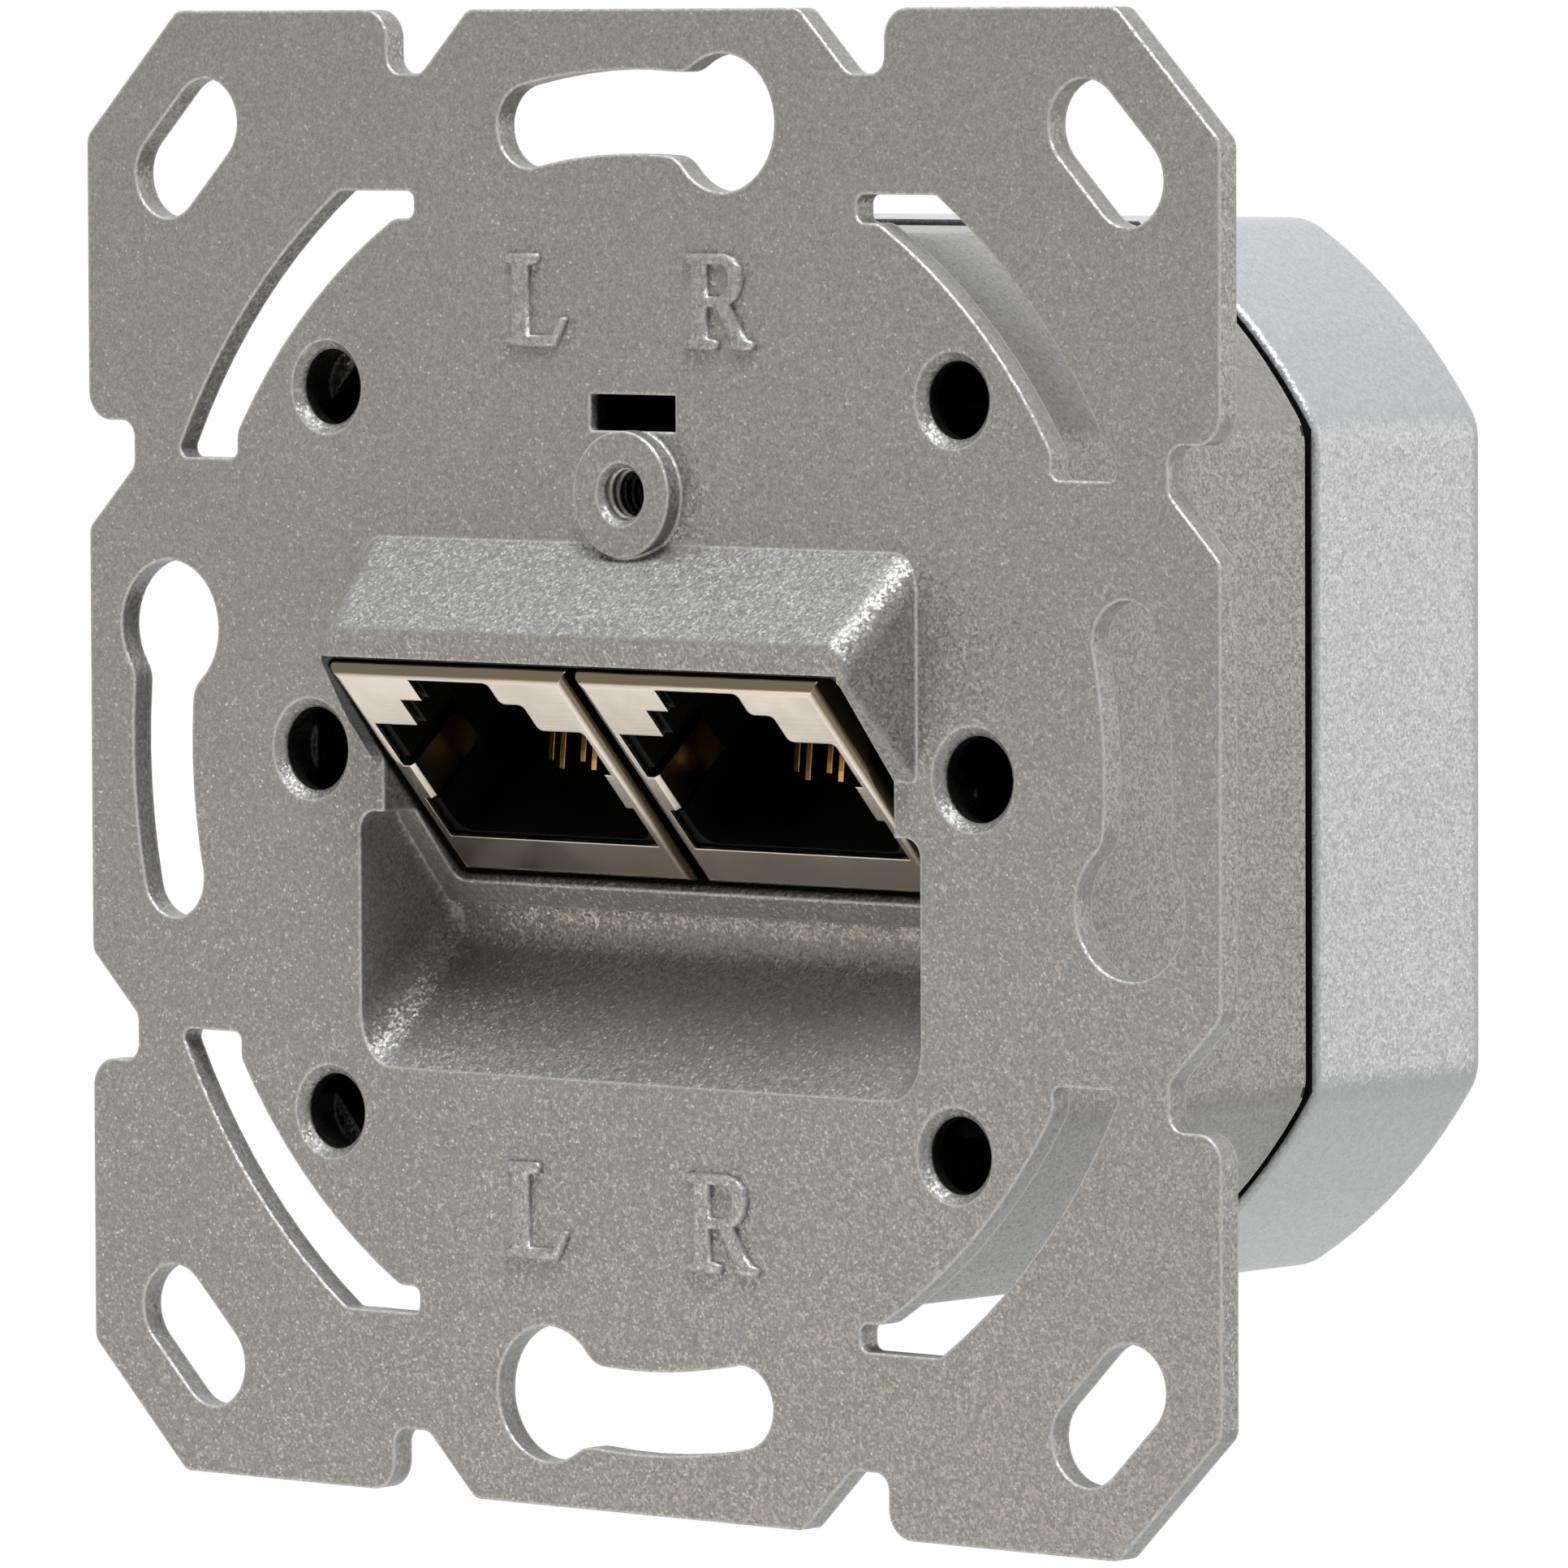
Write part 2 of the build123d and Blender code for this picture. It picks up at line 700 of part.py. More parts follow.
blade_xs = [(n - (wire_count - 1) / 2) * blade_pitch for n in range(wire_count)]
with BuildPart() as circuit_board:
    with BuildSketch(behind(board_y)) as board_plan:
        Rectangle(board_w, board_h)
        chamfer(board_plan.vertices(), board_chamfer)
        with GridLocations(2 * board_post_x, 2 * board_post_z, 2, 2):
            Circle(screw_r + hole_clear, mode=Mode.SUBTRACT)
        for x in jack_xs:
            with Locations([(x + place, wire_rows[n % 2]) for n, place in enumerate(wire_xs)]):
                Circle(pin_hole_r, mode=Mode.SUBTRACT)
            with Locations((x - shield_half + sheet / 2, tab_z), (x + shield_half - sheet / 2, tab_z)):
                Rectangle(tab_slot_w, tab_slot_h, mode=Mode.SUBTRACT)
        for z in block_zs:
            with Locations([(place, z) for place in blade_xs]):
                Circle(blade_tail_w / 2 + hole_clear, mode=Mode.SUBTRACT)
    extrude(amount=-board_t)
circuit_board.part.label = "circuit_board"
export_step(circuit_board.part, "parts/circuit_board.step")

for name, z in zip(("upper", "lower"), block_zs):
    with BuildPart() as wire_block:
        with BuildSketch(behind(board_back)):
            with Locations((0, z)):
                Rectangle(block_w, block_h)
        extrude(amount=-block_deep)
        with BuildSketch(behind(board_back)):
            with Locations([(place, z) for place in blade_xs]):
                Rectangle(blade_w + 2 * hole_clear, blade_t + 2 * hole_clear)
        extrude(amount=-block_deep, mode=Mode.SUBTRACT)
        with BuildSketch(behind(board_back + block_deep)):
            with Locations([(place, z) for place in blade_xs]):
                Rectangle(block_groove, block_h)
        extrude(amount=block_groove_deep, mode=Mode.SUBTRACT)
    wire_block.part.label = name + "_wire_block"
    export_step(wire_block.part, "parts/" + name + "_wire_block.step")

    with BuildPart() as block_contacts:
        with BuildSketch(behind(board_back)):
            with Locations([(place, z) for place in blade_xs]):
                Rectangle(blade_w, blade_t)
        extrude(amount=-blade_long)
        with BuildSketch(behind(board_back)):
            with Locations([(place, z) for place in blade_xs]):
                Rectangle(blade_tail_w, blade_t)
        extrude(amount=blade_tail_in)
        with BuildSketch(behind(board_back + blade_long)):
            with Locations([(place, z) for place in blade_xs]):
                Rectangle(blade_slot, blade_t)
        extrude(amount=blade_slot_deep, mode=Mode.SUBTRACT)
    block_contacts.part.label = name + "_block_contacts"
    export_step(block_contacts.part, "parts/" + name + "_block_contacts.step")

# Double saddle over the two cables
with BuildPart() as cable_clamp:
    with BuildSketch(Plane.XY.offset(clamp_post_z - clamp_h / 2)):
        with Locations((0, clamp_seat_y + clamp_t / 2)):
            Rectangle(2 * (clamp_post_x + post_r), clamp_t)
        with Locations((-inlet_x, inlet_y), (inlet_x, inlet_y)):
            Circle(clamp_bore_r + clamp_t)
        with Locations((-inlet_x, (inlet_y + clamp_seat_y) / 2), (inlet_x, (inlet_y + clamp_seat_y) / 2)):
            Rectangle(2 * (clamp_bore_r + clamp_t), inlet_y - clamp_seat_y)
        with Locations((-inlet_x, inlet_y), (inlet_x, inlet_y)):
            Circle(clamp_bore_r, mode=Mode.SUBTRACT)
        with Locations((-inlet_x, inlet_y / 2), (inlet_x, inlet_y / 2)):
            Rectangle(2 * clamp_bore_r, inlet_y, mode=Mode.SUBTRACT)
    extrude(amount=clamp_h)
    with BuildSketch(behind(clamp_seat_y)):
        with Locations((-clamp_post_x, clamp_post_z), (0, clamp_post_z), (clamp_post_x, clamp_post_z)):
            Circle(screw_r + hole_clear)
    extrude(amount=-clamp_t, mode=Mode.SUBTRACT)
cable_clamp.part.label = "cable_clamp"
export_step(cable_clamp.part, "parts/cable_clamp.step")


def screws(places, head_y, grip):
    """Slotted pan-head screws, their heads seated at the depth head_y on pieces grip thick."""
    with BuildPart() as group:
        with BuildSketch(behind(head_y)):
            with Locations(places):
                Circle(screw_head_r)
        extrude(amount=-screw_head_t)
        with BuildSketch(behind(head_y)):
            with Locations(places):
                Circle(screw_r)
        extrude(amount=grip + screw_long - screw_short)
        with BuildSketch(behind(head_y + screw_head_t)):
            with Locations(places):
                Rectangle(2 * screw_head_r, screw_slot)
        extrude(amount=screw_slot_deep, mode=Mode.SUBTRACT)
    return group.part


board_screws = screws(
    [(x, z) for x in (-board_post_x, board_post_x) for z in (-board_post_z, board_post_z)],
    board_back,
    board_t,
)
board_screws.label = "board_screws"
export_step(board_screws, "parts/board_screws.step")

clamp_screws = screws(
    [(x, clamp_post_z) for x in (-clamp_post_x, 0, clamp_post_x)],
    clamp_seat_y + clamp_t,
    clamp_t,
)
clamp_screws.label = "clamp_screws"
export_step(clamp_screws, "parts/clamp_screws.step")

# Countersunk screws that hold the cover, flush with its rear face
with BuildPart() as cover_screws:
    with BuildSketch(behind(body_depth)):
        with Locations((-cover_post_x, cover_post_z), (cover_post_x, cover_post_z)):
            Circle(screw_head_r)
    extrude(amount=screw_head_r - screw_r, taper=45)
    with BuildSketch(behind(body_depth)):
        with Locations((-cover_post_x, cover_post_z), (cover_post_x, cover_post_z)):
            Circle(screw_r)
    extrude(amount=body_wall + screw_long - screw_short)
    with BuildSketch(behind(body_depth)):
        with Locations((-cover_post_x, cover_post_z), (cover_post_x, cover_post_z)):
            Rectangle(2 * screw_head_r, screw_slot)
    extrude(amount=screw_slot_deep, mode=Mode.SUBTRACT)
cover_screws.part.label = "cover_screws"
export_step(cover_screws.part, "parts/cover_screws.step")
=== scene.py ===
import math

import bpy
import numpy as np
from mathutils import Matrix, Vector


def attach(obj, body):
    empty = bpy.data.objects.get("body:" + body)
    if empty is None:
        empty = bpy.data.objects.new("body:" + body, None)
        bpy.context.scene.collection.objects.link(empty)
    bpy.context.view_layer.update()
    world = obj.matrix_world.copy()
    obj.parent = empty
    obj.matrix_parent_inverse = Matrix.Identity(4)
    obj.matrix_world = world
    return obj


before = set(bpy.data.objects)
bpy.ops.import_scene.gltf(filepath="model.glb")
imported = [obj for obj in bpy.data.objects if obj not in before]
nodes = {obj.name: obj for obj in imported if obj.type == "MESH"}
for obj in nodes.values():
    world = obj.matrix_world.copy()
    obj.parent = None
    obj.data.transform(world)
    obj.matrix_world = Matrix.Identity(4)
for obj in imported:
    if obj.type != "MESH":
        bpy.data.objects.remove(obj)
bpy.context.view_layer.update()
print("frame loaded:", len(nodes), "nodes")

mm = 0.001


# shared helpers, first for meshes and then for shaders
def meshObject(name, points, faces):
    mesh = bpy.data.meshes.new(name)
    mesh.from_pydata(np.asarray(points, float).tolist(), [], [list(map(int, f)) for f in faces])
    mesh.update()
    mesh.polygons.foreach_set("use_smooth", [True] * len(mesh.polygons))
    thing = bpy.data.objects.new(name, mesh)
    bpy.context.scene.collection.objects.link(thing)
    return thing


def ringFaces(rows, cols):
    # quads between neighbouring points of a rows x cols grid whose columns close round
    i, j = np.meshgrid(np.arange(rows - 1), np.arange(cols), indexing="ij")
    j2 = (j + 1) % cols
    return np.stack([i * cols + j, (i + 1) * cols + j, (i + 1) * cols + j2, i * cols + j2], -1).reshape(-1, 4)


def newGroup(name, inputs, outputs):
    group = bpy.data.node_groups.new(name, "ShaderNodeTree")
    for label, kind, value in inputs:
        socket = group.interface.new_socket(name=label, in_out="INPUT", socket_type=kind)
        if value is not None:
            socket.default_value = value
    for label, kind in outputs:
        group.interface.new_socket(name=label, in_out="OUTPUT", socket_type=kind)
    return group, group.nodes.new("NodeGroupInput"), group.nodes.new("NodeGroupOutput")


def addNode(tree, kind, **settings):
    node = tree.nodes.new(kind)
    for key, value in settings.items():
        setattr(node, key, value)
    return node


def wire(tree, pairs):
    for source, target in pairs:
        tree.links.new(source, target)


def mathNode(tree, operation, a, b=None):
    node = addNode(tree, "ShaderNodeMath", operation=operation)
    for socket, value in zip(node.inputs, (a, b)):
        if value is None:
            continue
        if isinstance(value, (int, float)):
            socket.default_value = value
        else:
            tree.links.new(value, socket)
    return node.outputs[0]


def rampNode(tree, source, low, high, toLow=0.0, toHigh=1.0):
    node = addNode(tree, "ShaderNodeMapRange", clamp=True)
    for label, value in (("From Min", low), ("From Max", high), ("To Min", toLow), ("To Max", toHigh)):
        node.inputs[label].default_value = value
    tree.links.new(source, node.inputs["Value"])
    return node.outputs["Result"]


def mixColor(tree, factor, a, b):
    node = addNode(tree, "ShaderNodeMix", data_type="RGBA")
    for socket, value in ((node.inputs["Factor"], factor), (node.inputs[6], a), (node.inputs[7], b)):
        if isinstance(value, bpy.types.NodeSocket):
            tree.links.new(value, socket)
        else:
            socket.default_value = value
    return node.outputs[2]


def textureNode(tree, kind, place, **values):
    node = addNode(tree, kind)
    tree.links.new(place, node.inputs["Vector"])
    for key, value in values.items():
        node.inputs[key].default_value = value
    return node


def vectorNode(tree, operation, fixed=None):
    # fixed is the second vector, where it is the same all over
    node = addNode(tree, "ShaderNodeVectorMath", operation=operation)
    if fixed is not None:
        node.inputs[1].default_value = fixed
    return node


def isLess(tree, a, b):
    return mathNode(tree, "LESS_THAN", a, b)


def isMore(tree, a, b):
    return mathNode(tree, "GREATER_THAN", a, b)


def sizeOf(tree, a, middle=None):
    # distance of a value from the middle, or from zero
    return mathNode(tree, "ABSOLUTE", a if middle is None else mathNode(tree, "SUBTRACT", a, middle))


def allOf(tree, first, *masks):
    for mask in masks:
        first = mathNode(tree, "MULTIPLY", first, mask)
    return first


def anyOf(tree, first, *masks):
    for mask in masks:
        first = mathNode(tree, "MAXIMUM", first, mask)
    return first


def seenStraight(tree):
    # 1 for rays from the camera and for those that a gloss or a clear piece passes on
    rays = addNode(tree, "ShaderNodeLightPath")
    return anyOf(tree, *(rays.outputs[f"Is {kind} Ray"] for kind in ("Camera", "Glossy", "Transmission")))


# textures of the cast skin, at a grain size of 1: features along a metre, and how rich they are
grainTextures = dict(
    fine=dict(Scale=5600, Detail=2), coarse=dict(Scale=2300, Detail=2), cells=dict(Scale=5200),
    cloud=dict(Scale=110, Detail=4), stain=dict(Scale=420, Detail=5, Roughness=0.62),
    fineShare=0.6, fleckTone=(0.86, 0.99), fleckCore=(0.5, 0.25), mottleSpan=(0.3, 0.7),
    stainSpan=(0.56, 0.8),
)


def makeCastGrain(piece):
    # the skin of a die casting: fine pebbled bumps, bright flecks, a slow cloudy mottle and stains, and
    # a random lean for each small cell, which makes it sparkle
    group, into, out = newGroup(
        "castGrain",
        [("Vector", "NodeSocketVector", None), ("Grain Size", "NodeSocketFloat", 1.0)],
        [("Pebble", "NodeSocketFloat"), ("Fleck", "NodeSocketFloat"), ("Mottle", "NodeSocketFloat"),
         ("Stain", "NodeSocketFloat"), ("Tilt", "NodeSocketVector")],
    )
    sized = vectorNode(group, "SCALE")
    wire(group, [(into.outputs["Vector"], sized.inputs[0]),
                 (into.outputs["Grain Size"], sized.inputs["Scale"])])
    place = sized.outputs["Vector"]
    fine, coarse, cloud, stain = (
        textureNode(group, "ShaderNodeTexNoise", place, **piece[name]).outputs["Fac"]
        for name in ("fine", "coarse", "cloud", "stain")
    )
    cells = textureNode(group, "ShaderNodeTexVoronoi", place, **piece["cells"])
    tone = addNode(group, "ShaderNodeSeparateColor")
    tilt = vectorNode(group, "SUBTRACT", (0.5, 0.5, 0.5))
    wire(group, [(cells.outputs["Color"], tone.inputs["Color"]), (cells.outputs["Color"], tilt.inputs[0])])
    pebble = mathNode(group, "ADD", mathNode(group, "MULTIPLY", fine, piece["fineShare"]),
                      mathNode(group, "MULTIPLY", coarse, 1 - piece["fineShare"]))
    fleck = allOf(group, rampNode(group, tone.outputs["Red"], *piece["fleckTone"]),
                  rampNode(group, cells.outputs["Distance"], *piece["fleckCore"]))
    wire(group, [
        (pebble, out.inputs["Pebble"]),
        (fleck, out.inputs["Fleck"]),
        (rampNode(group, cloud, *piece["mottleSpan"]), out.inputs["Mottle"]),
        (rampNode(group, stain, *piece["stainSpan"]), out.inputs["Stain"]),
        (tilt.outputs["Vector"], out.inputs["Tilt"]),
    ])
    return group


def makeEdgeWearAndHighlight(samples=6, wornHighlightSpan=(0.985, 0.86)):
    # where the rounded normal leaves the flat one there is an edge, which handling has polished; its lighter
    # colour is partly that wear and partly a painted highlight
    group, into, out = newGroup(
        "edgeWearAndHighlight",
        [("Rounding", "NodeSocketFloat", 0.0002)],
        [("Edge", "NodeSocketFloat"), ("Normal", "NodeSocketVector")],
    )
    rounded = addNode(group, "ShaderNodeBevel", samples=samples)
    flat = addNode(group, "ShaderNodeNewGeometry")
    turn = vectorNode(group, "DOT_PRODUCT")
    wire(group, [
        (into.outputs["Rounding"], rounded.inputs["Radius"]),
        (rounded.outputs["Normal"], turn.inputs[0]),
        (flat.outputs["Normal"], turn.inputs[1]),
        (rounded.outputs["Normal"], out.inputs["Normal"]),
        (rampNode(group, turn.outputs["Value"], *wornHighlightSpan), out.inputs["Edge"]),
    ])
    return group


# textures of sheet metal, stretch being the features along a metre of each axis
sheetTextures = dict(stretch=(260, 5200, 5200), lines=dict(Scale=1, Detail=3),
                     smudge=dict(Scale=330, Detail=3), smudgeSpan=(0.35, 0.7))


def makeFineScratch(piece):
    # rolling marks of sheet metal: noise stretched along one axis, and a soft smudge
    group, into, out = newGroup(
        "fineScratch",
        [("Vector", "NodeSocketVector", None)],
        [("Lines", "NodeSocketFloat"), ("Smudge", "NodeSocketFloat")],
    )
    place = into.outputs["Vector"]
    stretch = addNode(group, "ShaderNodeMapping")
    stretch.inputs["Scale"].default_value = piece["stretch"]
    lines = textureNode(group, "ShaderNodeTexNoise", stretch.outputs["Vector"], **piece["lines"])
    smudge = textureNode(group, "ShaderNodeTexNoise", place, **piece["smudge"])
    wire(group, [
        (place, stretch.inputs["Vector"]),
        (lines.outputs["Fac"], out.inputs["Lines"]),
        (rampNode(group, smudge.outputs["Fac"], *piece["smudgeSpan"]), out.inputs["Smudge"]),
    ])
    return group


# where the castings are painted with shade, in metres
paintedShade = {"Half Width": 0.0234, "Half Height": 0.0243, "Radius": 0.02795, "Recess Half": 0.0175,
          "Recess Top": 0.0035, "Passage Half": 0.0162, "Passage Shift": -0.00045, "Passage Height": 0.00712,
          "Passage Deep": 0.018, "Seam Half": 0.02375, "Seam Radius": 0.0283, "Seam Place": 0.01912,
          "Seam Reach": 0.00045}


def makeHollowShade(behindPlate=(-0.0009, -0.0006), behindPort=(-0.00005, 0.0002)):
    # 1 inside the housing, in the gap around the jacks and in the seam. These are painted shade: holes and
    # gaps are coloured near black, a choice of look, as a real inside may be bare metal. The mask has no end
    # towards the back, so it also darkens part of the rear cover's outer back, which is a fault
    group, into, out = newGroup(
        "hollowShade",
        [("Vector", "NodeSocketVector", None),
         *((label, "NodeSocketFloat", 0.0) for label in (*paintedShade, "Depth", "Rise"))],
        [("Inside", "NodeSocketFloat")],
    )
    flat = vectorNode(group, "MULTIPLY", (1, 0, 1))
    length = vectorNode(group, "LENGTH")
    split = addNode(group, "ShaderNodeSeparateXYZ")
    wire(group, [(into.outputs["Vector"], flat.inputs[0]), (flat.outputs["Vector"], length.inputs[0]),
                 (into.outputs["Vector"], split.inputs[0])])
    at, x, y, z = into.outputs, split.outputs["X"], split.outputs["Y"], split.outputs["Z"]
    reach, across = length.outputs["Value"], sizeOf(group, x)
    inside = allOf(
        group,
        isLess(group, across, at["Half Width"]),
        isLess(group, sizeOf(group, z), at["Half Height"]),
        isLess(group, reach, at["Radius"]),
        rampNode(group, y, *behindPlate),
        anyOf(group, isMore(group, across, at["Recess Half"]), isMore(group, z, at["Recess Top"])),
    )
    passage = allOf(
        group,
        isLess(group, sizeOf(group, x, at["Passage Shift"]), at["Passage Half"]),
        isLess(group, at["Depth"], at["Passage Deep"]),
        isLess(group, sizeOf(group, at["Rise"]), at["Passage Height"]),
        rampNode(group, at["Depth"], *behindPort),
    )
    seam = allOf(
        group,
        isLess(group, reach, at["Seam Radius"]),
        isLess(group, across, at["Seam Half"]),
        isLess(group, sizeOf(group, y, at["Seam Place"]), at["Seam Reach"]),
    )
    wire(group, [(anyOf(group, inside, seam, passage), out.inputs["Inside"])])
    return group


def makePortDepth():
    # how far a point lies behind the jacks' slanted face, how high it lies along that face, and how
    # squarely it faces the same way
    group, into, out = newGroup(
        "portDepth",
        [(label, "NodeSocketVector", None) for label in ("Vector", "Face", "Axis")],
        [("Depth", "NodeSocketFloat"), ("Rise", "NodeSocketFloat"), ("Facing", "NodeSocketFloat")],
    )
    upward = vectorNode(group, "CROSS_PRODUCT")
    upward.inputs[0].default_value = (1, 0, 0)
    rise = vectorNode(group, "DOT_PRODUCT")
    away = vectorNode(group, "SUBTRACT")
    along = vectorNode(group, "DOT_PRODUCT")
    wire(group, [(into.outputs["Vector"], away.inputs[0]), (into.outputs["Face"], away.inputs[1]),
                 (away.outputs["Vector"], along.inputs[0]), (into.outputs["Axis"], along.inputs[1]),
                 (along.outputs["Value"], out.inputs["Depth"]), (into.outputs["Axis"], upward.inputs[1]),
                 (away.outputs["Vector"], rise.inputs[0]), (upward.outputs["Vector"], rise.inputs[1]),
                 (rise.outputs["Value"], out.inputs["Rise"])])
    skin = addNode(group, "ShaderNodeNewGeometry")
    square = vectorNode(group, "DOT_PRODUCT")
    wire(group, [(skin.outputs["Normal"], square.inputs[0]), (into.outputs["Axis"], square.inputs[1]),
                 (mathNode(group, "MULTIPLY", square.outputs["Value"], -1), out.inputs["Facing"])])
    return group


# the jacks' slanted face: a point on it in metres, and the way into the jacks
jackTilt = math.radians(43.5)
jackFace = {"Face": (0, -0.00073, -0.00093), "Axis": (0, math.cos(jackTilt), math.sin(jackTilt))}

castGrain = makeCastGrain(grainTextures)
edgeWearAndHighlight = makeEdgeWearAndHighlight()
fineScratch = makeFineScratch(sheetTextures)
hollowShade = makeHollowShade()
portDepth = makePortDepth()


def startMaterial(name, look):
    material = bpy.data.materials.new(name)
    material.use_nodes = True
    tree = material.node_tree
    shader = tree.nodes["Principled BSDF"]
    shader.inputs["Metallic"].default_value = look["metallic"]
    shader.inputs["Roughness"].default_value = look["roughness"]
    shader.inputs["Specular IOR Level"].default_value = look.get("specular", 0.5)
    place = addNode(tree, "ShaderNodeTexCoord").outputs["Object"]
    return material, tree, shader, place


def groupNode(tree, group, place=None, **values):
    node = addNode(tree, "ShaderNodeGroup", node_tree=group)
    if place is not None:
        tree.links.new(place, node.inputs["Vector"])
    for key, value in values.items():
        node.inputs[key].default_value = value
    return node


def bumpNode(tree, height, strength, distance, normal):
    bump = addNode(tree, "ShaderNodeBump")
    bump.inputs["Strength"].default_value = strength
    bump.inputs["Distance"].default_value = distance
    wire(tree, [(height, bump.inputs["Height"]), (normal, bump.inputs["Normal"])])
    return bump.outputs["Normal"]


def finishShader(tree, shader, color, rough, normal):
    wire(tree, [(color, shader.inputs["Base Color"]), (rough, shader.inputs["Roughness"]),
                (normal, shader.inputs["Normal"])])


def castMaterial(name, look):
    material, tree, shader, place = startMaterial(name, look)
    grain = groupNode(tree, castGrain, place, **{"Grain Size": look["grain"]})
    edge = groupNode(tree, edgeWearAndHighlight, Rounding=look["rounding"])
    color = mixColor(tree, grain.outputs["Mottle"], look["base"], look["cloud"])
    color = mixColor(tree, rampNode(tree, grain.outputs["Pebble"], *look["pitSpan"]), look["pit"], color)
    # stains, bright flecks, and edges made lighter partly for wear and partly as a painted highlight
    for mask, amount, shade in ((grain.outputs["Stain"], "stained", "stain"),
                                (grain.outputs["Fleck"], "flecks", "fleck"),
                                (edge.outputs["Edge"], "wearAndHighlight", "wornAndHighlight")):
        color = mixColor(tree, mathNode(tree, "MULTIPLY", mask, look[amount]), color, look[shade])
    deep = groupNode(tree, portDepth, place, **jackFace)
    paintedShadeMask = groupNode(tree, hollowShade, place, **paintedShade)
    wire(tree, [(deep.outputs[label], paintedShadeMask.inputs[label]) for label in ("Depth", "Rise")])
    # painted shade: near black inside the housing, around the jacks and in the seam
    color = mixColor(tree, paintedShadeMask.outputs["Inside"], color, look["paintedShade"])
    lean = vectorNode(tree, "SCALE")
    lean.inputs["Scale"].default_value = look["sparkle"]
    leaning = vectorNode(tree, "ADD")
    facet = vectorNode(tree, "NORMALIZE")
    wire(tree, [(grain.outputs["Tilt"], lean.inputs[0]), (lean.outputs["Vector"], leaning.inputs[0]),
                (edge.outputs["Normal"], leaning.inputs[1]), (leaning.outputs["Vector"], facet.inputs[0])])
    normal = bumpNode(tree, grain.outputs["Pebble"], look["bump"], look["bumpHigh"], facet.outputs["Vector"])
    rough = rampNode(tree, grain.outputs["Fleck"], 0, 1, look["roughness"],
                     look["roughness"] - look["fleckGloss"])
    finishShader(tree, shader, color, rough, normal)
    return material


def sheetMaterial(name, look):
    material, tree, shader, place = startMaterial(name, look)
    lines = groupNode(tree, fineScratch, place)
    edge = groupNode(tree, edgeWearAndHighlight, Rounding=look["rounding"])
    color = mixColor(tree, lines.outputs["Smudge"], look["base"], look["smudge"])
    # edges made lighter partly for wear and partly as a painted highlight
    color = mixColor(tree, edge.outputs["Edge"], color, look["wornAndHighlight"])
    if "paintedDeepShade" in look:
        deep = groupNode(tree, portDepth, place, **jackFace)
        across = addNode(tree, "ShaderNodeSeparateXYZ")
        tree.links.new(place, across.inputs[0])
        # distance from the middle of the nearer port, and from the middle line of both
        aside = sizeOf(tree, across.outputs["X"], paintedShade["Passage Shift"])
        aside = sizeOf(tree, aside, look["portPitch"] / 2)
        aloft = sizeOf(tree, deep.outputs["Rise"])
        outer = anyOf(tree, isMore(tree, aside, look["bendFrom"][0]),
                      isMore(tree, aloft, look["bendFrom"][1]))
        # painted shade: the outer bends, which turn away from the jacks' face, are coloured brown
        bendShadeMask = allOf(tree, rampNode(tree, deep.outputs["Facing"], *look["bendSpan"]), outer)
        color = mixColor(tree, bendShadeMask, color, look["paintedBendShade"])
        # painted shade: from 0.3 mm behind the jacks' face the sheet goes near black
        deepShadeMask = rampNode(tree, deep.outputs["Depth"], *look["paintedDeepShadeDepth"])
        color = mixColor(tree, deepShadeMask, color, look["paintedDeepShade"])
    rough = rampNode(tree, lines.outputs["Smudge"], 0, 1, look["roughness"] - look["uneven"],
                     look["roughness"] + look["uneven"])
    normal = bumpNode(tree, lines.outputs["Lines"], look["bump"], look["bumpHigh"], edge.outputs["Normal"])
    finishShader(tree, shader, color, rough, normal)
    return material


def plasticMaterial(name, look):
    material, tree, shader, place = startMaterial(name, look)
    skin = textureNode(tree, "ShaderNodeTexNoise", place, **look["skin"]).outputs["Fac"]
    cloud = textureNode(tree, "ShaderNodeTexNoise", place, **look["clouds"]).outputs["Fac"]
    edge = groupNode(tree, edgeWearAndHighlight, Rounding=look["rounding"])
    color = mixColor(tree, rampNode(tree, cloud, *look["hazeSpan"]), look["base"], look["haze"])
    # edges made lighter partly for wear and partly as a painted highlight
    color = mixColor(tree, edge.outputs["Edge"], color, look["wornAndHighlight"])
    rough = rampNode(tree, cloud, *look["glossSpan"], look["roughness"] - look["uneven"],
                     look["roughness"] + look["uneven"])
    normal = bumpNode(tree, skin, look["bump"], look["bumpHigh"], edge.outputs["Normal"])
    finishShader(tree, shader, color, rough, normal)
    return material


def dress(names, material):
    for name in names:
        mesh = nodes[name].data
        mesh.materials.clear()
        mesh.materials.append(material)
        mesh.polygons.foreach_set("material_index", [0] * len(mesh.polygons))


# front casting: warm grey zinc, tumbled, with a fine sparkle and near black painted shade in its hollows
castZinc = dict(base=(0.235, 0.229, 0.216, 1), cloud=(0.248, 0.242, 0.229, 1), pit=(0.165, 0.161, 0.152, 1),
                stain=(0.165, 0.162, 0.155, 1), stained=0.2, fleck=(0.55, 0.55, 0.55, 1), flecks=0.25,
                wornAndHighlight=(0.58, 0.57, 0.55, 1), wearAndHighlight=0.8, metallic=0.35, roughness=0.38, bump=0.2, grain=1.5,
                sparkle=0.45, rounding=0.00028, paintedShade=(0.008, 0.0075, 0.007, 1), pitSpan=(0.4, 0.62),
                bumpHigh=0.00009, fleckGloss=0.18)
castFront = castMaterial("castZincFront", castZinc)
dress(["front_housing"], castFront)

# rear cover: the same metal, lighter and smoother
coverZinc = dict(castZinc, base=(0.348, 0.352, 0.358, 1), cloud=(0.368, 0.372, 0.378, 1),
                 pit=(0.295, 0.298, 0.303, 1), stained=0.1, stain=(0.25, 0.25, 0.25, 1), wearAndHighlight=0.5,
                 wornAndHighlight=(0.6, 0.6, 0.59, 1), bump=0.15, sparkle=0.28)
dress(["rear_cover"], castMaterial("castZincCover", coverZinc))
